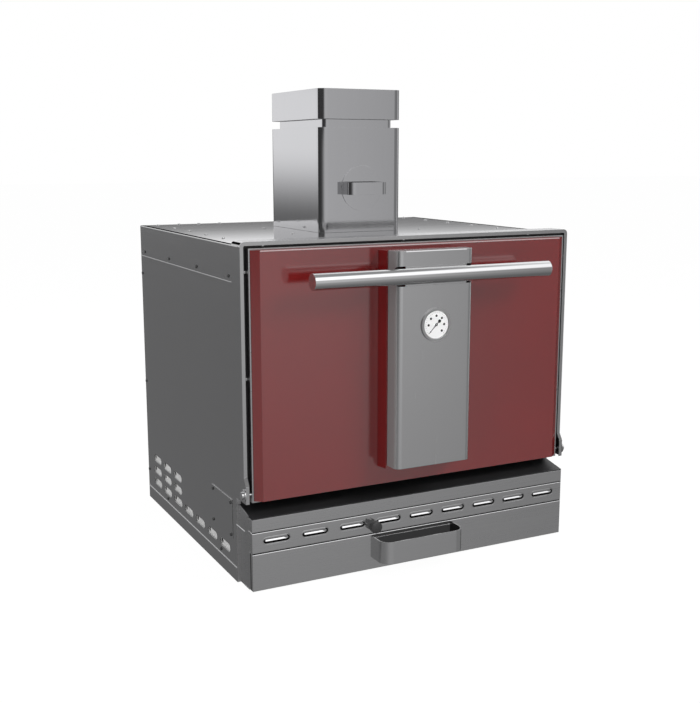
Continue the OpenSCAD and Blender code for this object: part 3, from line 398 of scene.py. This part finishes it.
def upper_faces(node, finish):
    """Finishes the faces that look straight up."""
    finish_faces(node, finish, lambda face: face.normal.z > MOST)


def inner_faces(node, finish):
    """Finishes the upright faces that look towards the middle of the node's back."""
    lo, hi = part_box(node)
    middle = Vector(((lo[X] + hi[X]) / 2, hi[Y], 0))

    def looks_inwards(face):
        inwards = middle - NODES[node].matrix_world @ face.center
        inwards.z = 0
        return abs(face.normal.z) < HALF and face.normal.dot(inwards) > 0

    finish_faces(node, finish, looks_inwards)


def top_screws_painted_light(finish):
    """Gives the screws in the top the bright zinc finish, painted light; the same screws in the sides keep a
    dark finish, painted shade.
    """
    seat = 0.001
    least_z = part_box("top_cover")[1][Z] - seat

    def in_top(face):
        return (NODES["case_screws"].matrix_world @ face.center).z > least_z

    finish_faces("case_screws", finish, in_top)


finish_nodes()
side_faces("top_cover", "steel_side")
side_faces("front_surround", "steel_side")
# The centre cover's side faces take the darker copy of its steel: painted shade
side_faces("centre_cover", "cover_side_painted_shade", least=0.8)
# The surround's back-leaning faces take the dark copy of its steel: painted shade
slanted_faces("front_surround", "slope_painted_shade")
# The door skin's upper faces take the darker red: painted shade
upper_faces("door_skin", "red_painted_shade")
# The handle's inward faces take the dark copy of its steel: painted shade
inner_faces("drawer_handle", "handle_inside_painted_shade")
top_screws_painted_light("bolt")


# Pieces that the CAD leaves out


def piece(name, verts, faces, finish, body):
    """A mesh of its own that moves with body."""
    mesh = D.meshes.new(name)
    mesh.from_pydata([tuple(v) for v in verts], [], faces)
    mesh.update()
    ob = D.objects.new(name, mesh)
    bpy.context.collection.objects.link(ob)
    mesh.materials.append(M[finish])
    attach(ob, body)
    return ob


def turn_outwards(ob):
    """Turns all the faces of a closed mesh outwards."""
    bm = bmesh.new()
    bm.from_mesh(ob.data)
    bmesh.ops.recalc_face_normals(bm, faces=bm.faces)
    bm.to_mesh(ob.data)
    bm.free()


def edge_strip(name, start, end, out, height, depth, body, finish="seam"):
    """A folded edge: its face leans back from the foot, which stands proud by depth, to the wall."""
    s, e, o = Vector(start), Vector(end), Vector(out)
    up = Vector((0, 0, height))
    verts = [s, s + o * depth, s + up, e, e + o * depth, e + up]
    faces = [(0, 1, 2), (3, 5, 4), (0, 3, 4, 1), (1, 4, 5, 2), (2, 5, 3, 0)]
    turn_outwards(piece(name, verts, faces, finish, body))


def disc(centre, y, radius, corners):
    """Points round a circle in the plane y, anticlockwise as seen from the front."""
    angles = [2 * math.pi * j / corners for j in range(corners)]
    return [(centre[0] + radius * math.cos(a), y, centre[1] + radius * math.sin(a)) for a in angles]


def dial_centre():
    """The middle of the thermometer, as X and Z."""
    lo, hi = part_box("thermometer_dial")
    return (lo[X] + hi[X]) / 2, (lo[Z] + hi[Z]) / 2


def dial_marks():
    """Fine ticks round the rim, and a round mark at every 45 degrees of the scale but the needle's rest."""
    sheet, mark = 0.0007, 0.00005
    tick_count, tick_first, tick_step = 28, 225, 10
    tick_inner, tick_outer, tick_half = 0.0245, 0.0262, 0.0002
    mark_count, mark_first, mark_step, mark_corners = 6, 180, 45, 16
    mark_place, mark_radius = 0.0188, 0.0026
    ox, oz = dial_centre()
    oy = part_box("thermometer_dial")[1][Y] - sheet - mark
    tick = [(tick_inner, -tick_half), (tick_outer, -tick_half)]
    tick += [(tick_outer, tick_half), (tick_inner, tick_half)]
    verts, faces = [], []
    for k in range(tick_count):
        a = math.radians(tick_first - k * tick_step)
        c, s = math.cos(a), math.sin(a)
        first = len(verts)
        verts += [(ox + r * c - t * s, oy, oz + r * s + t * c) for r, t in tick]
        faces.append(tuple(range(first, first + len(tick))))
    for k in range(mark_count):
        a = math.radians(mark_first - mark_step * k)
        middle = (ox + mark_place * math.cos(a), oz + mark_place * math.sin(a))
        first = len(verts)
        verts += disc(middle, oy, mark_radius, mark_corners)
        faces.append(tuple(range(first, first + mark_corners)))
    piece("dial_marks", verts, faces, "needle", "door")


def side_seams():
    """The folds along the cabinet's sides, and black strips along the top's edges, painted shade of the gaps
    between the top and the sides.
    """
    tray_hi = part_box("base_tray")[1]
    panel_lo, panel_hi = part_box("right_side_panel")
    top_lo, top_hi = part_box("top_cover")
    y0, y1 = panel_lo[Y], panel_hi[Y]
    tray_z, tray_height, tray_depth = panel_lo[Z] - 0.0012, 0.0024, 0.0010
    flange_z, flange_height, flange_depth = top_lo[Z] - 0.0006, 0.0011, 0.0005
    fold_height, fold_depth = 0.0018, 0.0008
    fold_z = top_hi[Z] - fold_height
    rim, shade_rise, shade_width = 0.0025, 0.0002, 0.0095
    for side, sign in SIDES:
        x = sign * tray_hi[X]
        out = (sign, 0, 0)
        edge_strip("tray_seam_" + side, (x, y0, tray_z), (x, y1, tray_z), out, tray_height, tray_depth,
                   "cabinet")
        edge_strip("flange_seam_" + side, (x, y0, flange_z), (x, y1, flange_z), out, flange_height,
                   flange_depth, "cabinet")
        edge_strip("top_fold_" + side, (x, top_lo[Y], fold_z), (x, top_hi[Y], fold_z), out, fold_height,
                   fold_depth, "cabinet")
        inner_x = sign * (tray_hi[X] - rim)
        edge_strip("top_painted_shade_" + side, (inner_x, y0, top_hi[Z]), (inner_x, top_hi[Y], top_hi[Z]),
                   (-sign, 0, 0), shade_rise, shade_width, "cabinet", "black_painted_shade")


def plinth_side_seams():
    """The folds that run on from the slot plate's upper edge along the plinth's sides."""
    plate_lo, plate_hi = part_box("air_slot_plate")
    cheek_lo, cheek_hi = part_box("plinth_cheeks")
    height, depth = 0.0013, 0.0006
    z = plate_hi[Z] - 0.0012
    for side, sign in SIDES:
        for name, lo, hi in (("cheek_seam_", cheek_lo, cheek_hi), ("plate_seam_", plate_lo, plate_hi)):
            x = sign * hi[X]
            edge_strip(name + side, (x, lo[Y], z), (x, hi[Y], z), (sign, 0, 0), height, depth, "cabinet")


def front_seam(name, node, body):
    """A fold across a front plate's upper edge: a line of light, with a black strip above it that is painted
    shade of the gap.
    """
    lo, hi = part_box(node)
    light, light_depth = 0.0011, 0.0006
    black_painted_shade, shade_depth = 0.0018, 0.0002
    z = hi[Z] - light - black_painted_shade
    edge_strip(name + "_seam", (lo[X], lo[Y], z), (hi[X], lo[Y], z), FORWARD, light, light_depth, body)
    # A black strip above the fold: painted shade
    z = hi[Z] - black_painted_shade
    edge_strip(name + "_painted_shade", (lo[X], lo[Y], z), (hi[X], lo[Y], z), FORWARD, black_painted_shade, shade_depth, body,
               "black_painted_shade")


def corner_painted_reflections():
    """Black strips on the rounded folds of the surround's upper corners: a painted dark reflection."""
    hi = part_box("front_surround")[1]
    front, back = -0.3450, -0.3005
    radius, proud, steps = 0.010, 1.02, 4
    first_angle, swept = 24, 32
    for side, sign in SIDES:
        verts = []
        for i in range(steps + 1):
            a = math.radians(first_angle + swept * i / steps)
            x = sign * (hi[X] - radius + proud * radius * math.cos(a))
            z = hi[Z] - radius + proud * radius * math.sin(a)
            verts += [(x, front, z), (x, back, z)]
        # The order is reversed on the left, so that every face looks outwards
        faces = [(2 * i, 2 * i + 1, 2 * i + 3, 2 * i + 2)[::sign] for i in range(steps)]
        piece("corner_painted_reflection_" + side, verts, faces, "black_painted_shade", "cabinet")


def return_painted_shades():
    """Black strips where the drawer front's folded ends stop: painted shade of the gaps there."""
    lo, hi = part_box("drawer_front")
    y0, y1 = lo[Y] + 0.0085, lo[Y] + 0.0120
    proud = 0.0001
    for side, sign in SIDES:
        x = sign * (hi[X] + proud)
        verts = [(x, y0, lo[Z]), (x, y1, lo[Z]), (x, y1, hi[Z]), (x, y0, hi[Z])]
        # The order is reversed on the left, so that the face looks outwards
        piece("return_painted_shade_" + side, verts[::sign], [(0, 1, 2, 3)], "black_painted_shade", "drawer")


def handle_pocket_painted_shade():
    """A dark sheet across the back of the drawer handle's pocket, painted shade, with a thin rim across it.
    """
    lo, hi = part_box("drawer_handle")
    front_lo, front_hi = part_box("drawer_front")
    wall, floor_gap, seam_gap, proud = 0.0022, 0.002, 0.0030, 0.0001
    rim_drop, rim_height, rim_depth = 0.0070, 0.0017, 0.0007
    x0, x1 = lo[X] + wall, hi[X] - wall
    z0, z1 = lo[Z] + floor_gap, front_hi[Z] - seam_gap
    y = front_lo[Y] - proud
    verts = [(x0, y, z0), (x1, y, z0), (x1, y, z1), (x0, y, z1)]
    piece("handle_pocket_painted_shade", verts, [(0, 1, 2, 3)], "handle_pocket_painted_shade", "drawer")
    z = hi[Z] - rim_drop
    edge_strip("handle_rim", (x0, y, z), (x1, y, z), FORWARD, rim_height, rim_depth, "drawer", "steel_front")


def hem(name, node, finish, half_width, height, depth):
    """The upper edge of one of the door's fronts, which catches the light."""
    lo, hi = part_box(node)
    z = hi[Z] - height
    edge_strip(name, (-half_width, lo[Y], z), (half_width, lo[Y], z), FORWARD, height, depth, "door", finish)


def bar_lips():
    """Strips that close the cover's cut-out above and below the handle bar."""
    lo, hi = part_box("handle_bar")
    cover_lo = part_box("centre_cover")[0]
    middle, radius = (lo[Z] + hi[Z]) / 2, (hi[Z] - lo[Z]) / 2
    half_width, clear, gap = 0.0735, 0.0001, 0.0037
    front, back = cover_lo[Y] + 0.0001, cover_lo[Y] + 0.0015
    faces = [(0, 1, 2, 3), (7, 6, 5, 4), (0, 4, 5, 1), (1, 5, 6, 2), (2, 6, 7, 3), (3, 7, 4, 0)]
    for name, sign in (("bar_lip_upper", 1), ("bar_lip_lower", -1)):
        near, far = middle + sign * (radius + clear), middle + sign * (radius + gap)
        end = [(front, near), (back, near), (back, far), (front, far)]
        verts = [(x, y, z) for x in (-half_width, half_width) for y, z in end]
        turn_outwards(piece(name, verts, faces, "steel_cover", "door"))


# The air slots, as in the slot plate: four from the left end and five from the right, each set evenly spaced
SLOT_LENGTH, SLOT_HEIGHT = 0.062, 0.0175
SLOT_Z = 0.1085
SLOT_END_X = 0.338
LEFT_COUNT, LEFT_PITCH = 4, 0.0882
RIGHT_COUNT, RIGHT_PITCH = 5, 0.0823
SLOT_X = [-SLOT_END_X + i * LEFT_PITCH for i in range(LEFT_COUNT)]
SLOT_X += [SLOT_END_X - i * RIGHT_PITCH for i in range(RIGHT_COUNT)]
# The loops of a lip: how far each lies in from the slot's left, right, lower and upper edge, and how deep it
# lies at its foot and at its top
LIP_LOOPS = [
    (0.0002, 0.0002, 0.0002, 0.0002, 0.0001, 0.0007),
    (0.0015, 0.0010, 0.0022, 0.0026, 0.0003, 0.0001),
    (0.0050, 0.0044, 0.0066, 0.0050, 0.0010, 0.0003),
    (0.0056, 0.0070, 0.0072, 0.0053, 0.0013, 0.0003),
    (0.0070, 0.0125, 0.0098, 0.0056, 0.0027, 0.0004),
]
LIP_ARC = 10
# Where the black band and the bright foot run, in half turns from the foot of the right end. The black band
# starts on the left end and stops on top of the right one; it is painted shade, and the foot's chrome is a
# painted highlight
SHADE_START, FOOT_START, FOOT_END = 1.3, 1.6, 0.5
# The lip's plain steel, its painted shade in black, and chrome as its painted highlight
LIP_FINISH = ("steel_front", "black_painted_shade", "chrome")
PLAIN, DARK, BRIGHT = range(3)


def lip_loop(middle_x, y, loop):
    """Points round one loop of a lip, anticlockwise from the foot of its right end."""
    left, right, low, high, foot, top = loop
    x0, x1 = middle_x - SLOT_LENGTH / 2 + left, middle_x + SLOT_LENGTH / 2 - right
    z0, z1 = SLOT_Z - SLOT_HEIGHT / 2 + low, SLOT_Z + SLOT_HEIGHT / 2 - high
    r, middle_z = (z1 - z0) / 2, (z0 + z1) / 2
    points = []
    for end_x, start in ((x1 - r, -90), (x0 + r, 90)):
        for i in range(LIP_ARC + 1):
            a = math.radians(start + 180 * i / LIP_ARC)
            depth = foot + (top - foot) * (1 + math.sin(a)) / 2
            points.append((end_x + r * math.cos(a), y + depth, middle_z + r * math.sin(a)))
    return points


def lip_finish(band, i):
    """The finish of face i in a band of a lip: a black band of painted shade, then a slope whose foot takes
    the polished chrome as a painted highlight.
    """
    shade_band = 1
    in_shade_band = i > LIP_ARC * SHADE_START or i < LIP_ARC
    along_foot = i > LIP_ARC * FOOT_START or i < LIP_ARC * FOOT_END
    if band == shade_band and in_shade_band:
        return DARK
    if band > shade_band and along_foot:
        return BRIGHT
    return PLAIN


def slot_lips():
    """The pressed lips in the air slots."""
    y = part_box("air_slot_plate")[0][Y]
    count = 2 * (LIP_ARC + 1)
    verts, faces, finishes = [], [], []
    for middle_x in SLOT_X:
        first = len(verts)
        for loop in LIP_LOOPS:
            verts += lip_loop(middle_x, y, loop)
        for band in range(len(LIP_LOOPS) - 1):
            for i in range(count):
                a = first + band * count + i
                b = first + band * count + (i + 1) % count
                faces.append((a, b, b + count, a + count))
                finishes.append(lip_finish(band, i))
    ob = piece("slot_lips", verts, faces, LIP_FINISH[PLAIN], "cabinet")
    ob.data.materials.append(M[LIP_FINISH[DARK]])
    ob.data.materials.append(M[LIP_FINISH[BRIGHT]])
    for face, index in zip(ob.data.polygons, finishes):
        face.material_index = index


# The needle rests at 45 degrees, with its tip to the lower left
DIAGONAL = math.sqrt(0.5)


def needle_ball():
    """The round counterweight on the needle's tail."""
    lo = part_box("thermometer_needle")[0]
    ox, oz = dial_centre()
    tail = 0.0103 * DIAGONAL
    corners = 20
    back, back_radius = lo[Y] - 0.00005, 0.0036
    front, front_radius = lo[Y] - 0.0002, 0.0032
    middle = (ox + tail, oz + tail)
    verts = disc(middle, back, back_radius, corners) + disc(middle, front, front_radius, corners)
    faces = [tuple(range(corners, 2 * corners))]
    for j in range(corners):
        after = (j + 1) % corners
        faces.append((j, after, corners + after, corners + j))
    piece("needle_ball", verts, faces, "needle", "needle")


def needle_head():
    """The fine tip of the needle, which reaches the ticks, with the lozenge before it."""
    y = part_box("thermometer_needle")[0][Y] - 0.0001
    ox, oz = dial_centre()
    # Stations along the tip: how far out each lies, and the half width there
    stations = ((0.003, 0.0007), (0.018, 0.0006), (0.020, 0.0016), (0.022, 0.0006), (0.026, 0.0002))
    verts = []
    for r, half in stations:
        for w in (half, -half):
            verts.append((ox - DIAGONAL * r + DIAGONAL * w, y, oz - DIAGONAL * r - DIAGONAL * w))
    faces = [(2 * i, 2 * i + 1, 2 * i + 3, 2 * i + 2) for i in range(len(stations) - 1)]
    piece("needle_head", verts, faces, "needle", "needle")


dial_marks()
side_seams()
plinth_side_seams()
front_seam("slot_plate", "air_slot_plate", "cabinet")
front_seam("drawer", "drawer_front", "drawer")
corner_painted_reflections()
return_painted_shades()
handle_pocket_painted_shade()
hem("skin_hem", "door_skin", "red_hem", half_width=0.364, height=0.0024, depth=0.0010)
hem("cover_hem", "centre_cover", "seam", half_width=0.073, height=0.0018, depth=0.0008)
bar_lips()
slot_lips()
needle_ball()
needle_head()

# Steel this dull shows no clear mirror image of the handle and the small black parts before it
for small_part in ("drawer_handle", "shutter_knob", "lock_nut", "shutter_rod"):
    NODES[small_part].visible_glossy = False


# Floor

FLOOR_REACH, FLOOR_Z = 30, -0.0005
FLOOR_LIGHT, FLOOR_SHARE = 1.04, 0.93


def floor():
    """A pale floor that the camera sees as white, with the object's shadow kept faintly."""
    mat, nt, shader = new_mat("floor_white")
    feed(nt, (0.9, 0.9, 0.9), shader.inputs["Base Color"])
    feed(nt, 0.9, shader.inputs["Roughness"])
    feed(nt, 0.2, shader.inputs["Specular IOR Level"])
    glow = nt.nodes.new("ShaderNodeEmission")
    feed(nt, WHITE, glow.inputs["Color"])
    feed(nt, FLOOR_LIGHT, glow.inputs["Strength"])
    path = nt.nodes.new("ShaderNodeLightPath")
    mix = nt.nodes.new("ShaderNodeMixShader")
    nt.links.new(math_node(nt, "MULTIPLY", path.outputs["Is Camera Ray"], FLOOR_SHARE), mix.inputs[0])
    nt.links.new(shader.outputs[0], mix.inputs[1])
    nt.links.new(glow.outputs[0], mix.inputs[2])
    nt.links.new(mix.outputs[0], nt.nodes["Material Output"].inputs[0])
    mesh = D.meshes.new("floor")
    corners = ((-1, -1), (1, -1), (1, 1), (-1, 1))
    mesh.from_pydata([(FLOOR_REACH * x, FLOOR_REACH * y, FLOOR_Z) for x, y in corners], [], [(0, 1, 2, 3)])
    mesh.materials.append(mat)
    ob = D.objects.new("floor", mesh)
    bpy.context.collection.objects.link(ob)
    ob.visible_glossy = False


# World

# x, y and z are the parts of the direction that a ray takes. A span of one of them is where a change of
# brightness begins and where it ends, and the pair after it holds the brightness before and after


def studio_back(nt, x, z):
    """Behind the object: grey below a soft horizon, sharper and higher to the right, and white above it."""
    grey, white = 0.182, 1.10
    left_to_right = (-0.45, 0.30)
    left_horizon, right_horizon, right_fall = -0.030, 0.0832, -0.0185
    left_softness, right_softness = 0.035, 0.0097
    right_edge = math_node(nt, "MULTIPLY_ADD", x, right_fall, right_horizon)
    horizon = smooth(nt, x, left_to_right, (left_horizon, right_edge))
    softness = smooth(nt, x, left_to_right, (left_softness, right_softness))
    above = math_node(nt, "DIVIDE", math_node(nt, "SUBTRACT", z, horizon), softness)
    back = smooth(nt, above, (-1.0, 1.0), (grey, white))
    # On the left it is dimmed between these heights
    dim_starts, dim_ends = (0.058, 0.068), (0.24, 0.36)
    left_share = smooth(nt, x, (-0.30, 0.10), (0.66, 1.0))
    dimmed = smooth(nt, z, dim_ends, (left_share, 1.0))
    return math_node(nt, "MULTIPLY", back, smooth(nt, z, dim_starts, (1.0, dimmed)))


def studio_front(nt, x, z):
    """In front: mid grey that falls off to the right and towards the floor, and white overhead."""
    below_eye, underfoot, overhead = (-0.42, -0.08), (-0.95, -0.40), (0.20, 0.44)
    to_right = (0.40, 0.64)
    left = smooth(nt, z, below_eye, (0.36, 0.635))
    right = smooth(nt, z, below_eye, (0.255, 0.300))
    low = smooth(nt, x, to_right, (left, right))
    low = math_node(nt, "MULTIPLY", low, smooth(nt, z, underfoot, (0.45, 1.0)))
    return math_node(nt, "ADD", low, smooth(nt, z, overhead, (0.0, 1.0)))


def with_left_wall(nt, x, z, front):
    """The front with a wall on its left, darkest near eye height, that reaches further in above it."""
    below_eye, at_eye, above_eye = (-0.16, -0.08), (0.005, 0.03), (0.07, 0.12)
    low_wall, eye_wall, high_wall = 0.24, 0.055, 0.45
    wall = smooth(nt, z, above_eye, (smooth(nt, z, below_eye, (low_wall, eye_wall)), high_wall))
    wall_end = smooth(nt, z, at_eye, (-1.0, -0.56))
    front_start = -0.15
    return smooth(nt, x, (wall_end, front_start), (wall, front))


def studio_right(nt, y, z):
    """On the right: a narrow bright wall between a grey and a dark one, and light again further back."""
    grey_wall, bright_wall, dark_wall, far_floor, far_wall = 0.28, 0.85, 0.06, 0.24, 0.7
    bright_starts, bright_ends, far_starts = (-0.20, -0.05), (0.08, 0.20), (0.38, 0.52)
    bright = smooth(nt, z, (-0.30, -0.15), (grey_wall, bright_wall))
    far = smooth(nt, z, (-0.02, 0.05), (far_floor, far_wall))
    front = smooth(nt, y, bright_starts, (grey_wall, bright))
    back = smooth(nt, y, far_starts, (dark_wall, far))
    return smooth(nt, y, bright_ends, (front, back))


def studio_level(nt):
    """How bright the studio is in each direction; it is dim straight overhead."""
    to_back, to_right, to_top, dim = (0.33, 0.45), (0.68, 0.86), (0.74, 0.86), 0.22
    place = nt.nodes.new("ShaderNodeTexCoord")
    parts = nt.nodes.new("ShaderNodeSeparateXYZ")
    nt.links.new(place.outputs["Generated"], parts.inputs[0])
    x, y, z = parts.outputs
    front = with_left_wall(nt, x, z, studio_front(nt, x, z))
    middle = smooth(nt, y, to_back, (front, studio_back(nt, x, z)))
    around = smooth(nt, x, to_right, (middle, studio_right(nt, y, z)))
    return math_node(nt, "MULTIPLY", around, smooth(nt, z, to_top, (1.0, dim)))


def background(nt, colour, strength):
    """A world shader of one colour."""
    node = nt.nodes.new("ShaderNodeBackground")
    feed(nt, colour, node.inputs["Color"])
    feed(nt, strength, node.inputs["Strength"])
    return node.outputs[0]


def mix_shaders(nt, share, first, second):
    """The first shader where share is 0, the second where it is 1."""
    node = nt.nodes.new("ShaderNodeMixShader")
    for value, socket in zip((share, first, second), node.inputs):
        nt.links.new(value, socket)
    return node.outputs[0]


def studio_world():
    """White for the camera, a studio of grey tones in metal and glass, and plain grey light for the rest."""
    world = D.worlds.new("studio")
    bpy.context.scene.world = world
    world.use_nodes = True
    nt = world.node_tree
    nt.nodes.clear()
    out = nt.nodes.new("ShaderNodeOutputWorld")
    mirrored = background(nt, COOL, studio_level(nt))
    plain = background(nt, (0.75, 0.75, 0.76), 0.5)
    white = background(nt, WHITE, 1.0)
    path = nt.nodes.new("ShaderNodeLightPath")
    in_mirror = math_node(nt, "MAXIMUM", path.outputs["Is Glossy Ray"], path.outputs["Is Transmission Ray"])
    light = mix_shaders(nt, in_mirror, plain, mirrored)
    nt.links.new(mix_shaders(nt, path.outputs["Is Camera Ray"], light, white), out.inputs[0])


# Lamps and camera

AIM = (0.0, 0.0, 0.5)


def area_lamp(name, place, size, power):
    """An area lamp that shines on the object and shows in no reflection."""
    lamp = D.lights.new(name, "AREA")
    lamp.shape = "RECTANGLE"
    lamp.size, lamp.size_y = size
    lamp.energy = power
    ob = D.objects.new(name, lamp)
    bpy.context.collection.objects.link(ob)
    ob.location = place
    ob.rotation_euler = (Vector(AIM) - Vector(place)).to_track_quat("-Z", "Y").to_euler()
    ob.visible_glossy = False


# The camera as solved from the photo's straight edges, with its focal length and the photo's longer side
# in pixels
FOCAL_PX, PHOTO_PX = 1064.12, 703.0
SENSOR = 36.0
CAMERA_PLACE = (-1.14867, -2.30383, 0.89425)
PITCH_DOWN, TURN_RIGHT = 10.580, 26.869
NEAR, FAR = 0.05, 200


def photo_camera():
    """The camera from which the photo was taken."""
    data = D.cameras.new("camera")
    data.sensor_fit = "AUTO"
    data.sensor_width = SENSOR
    data.lens = SENSOR * FOCAL_PX / PHOTO_PX
    data.clip_start = NEAR
    data.clip_end = FAR
    ob = D.objects.new("camera", data)
    bpy.context.collection.objects.link(ob)
    ob.location = CAMERA_PLACE
    ob.rotation_euler = Euler((math.radians(90 - PITCH_DOWN), 0, math.radians(-TURN_RIGHT)))
    bpy.context.scene.camera = ob


floor()
studio_world()
area_lamp("key", (2.6, -3.4, 3.2), size=(2.2, 1.6), power=90)
area_lamp("top", (0.0, 0.2, 4.2), size=(3.0, 3.0), power=70)
area_lamp("fill", (-4.0, -1.8, 1.6), size=(2.0, 2.5), power=25)
photo_camera()
bpy.context.scene.view_settings.view_transform = "Standard"
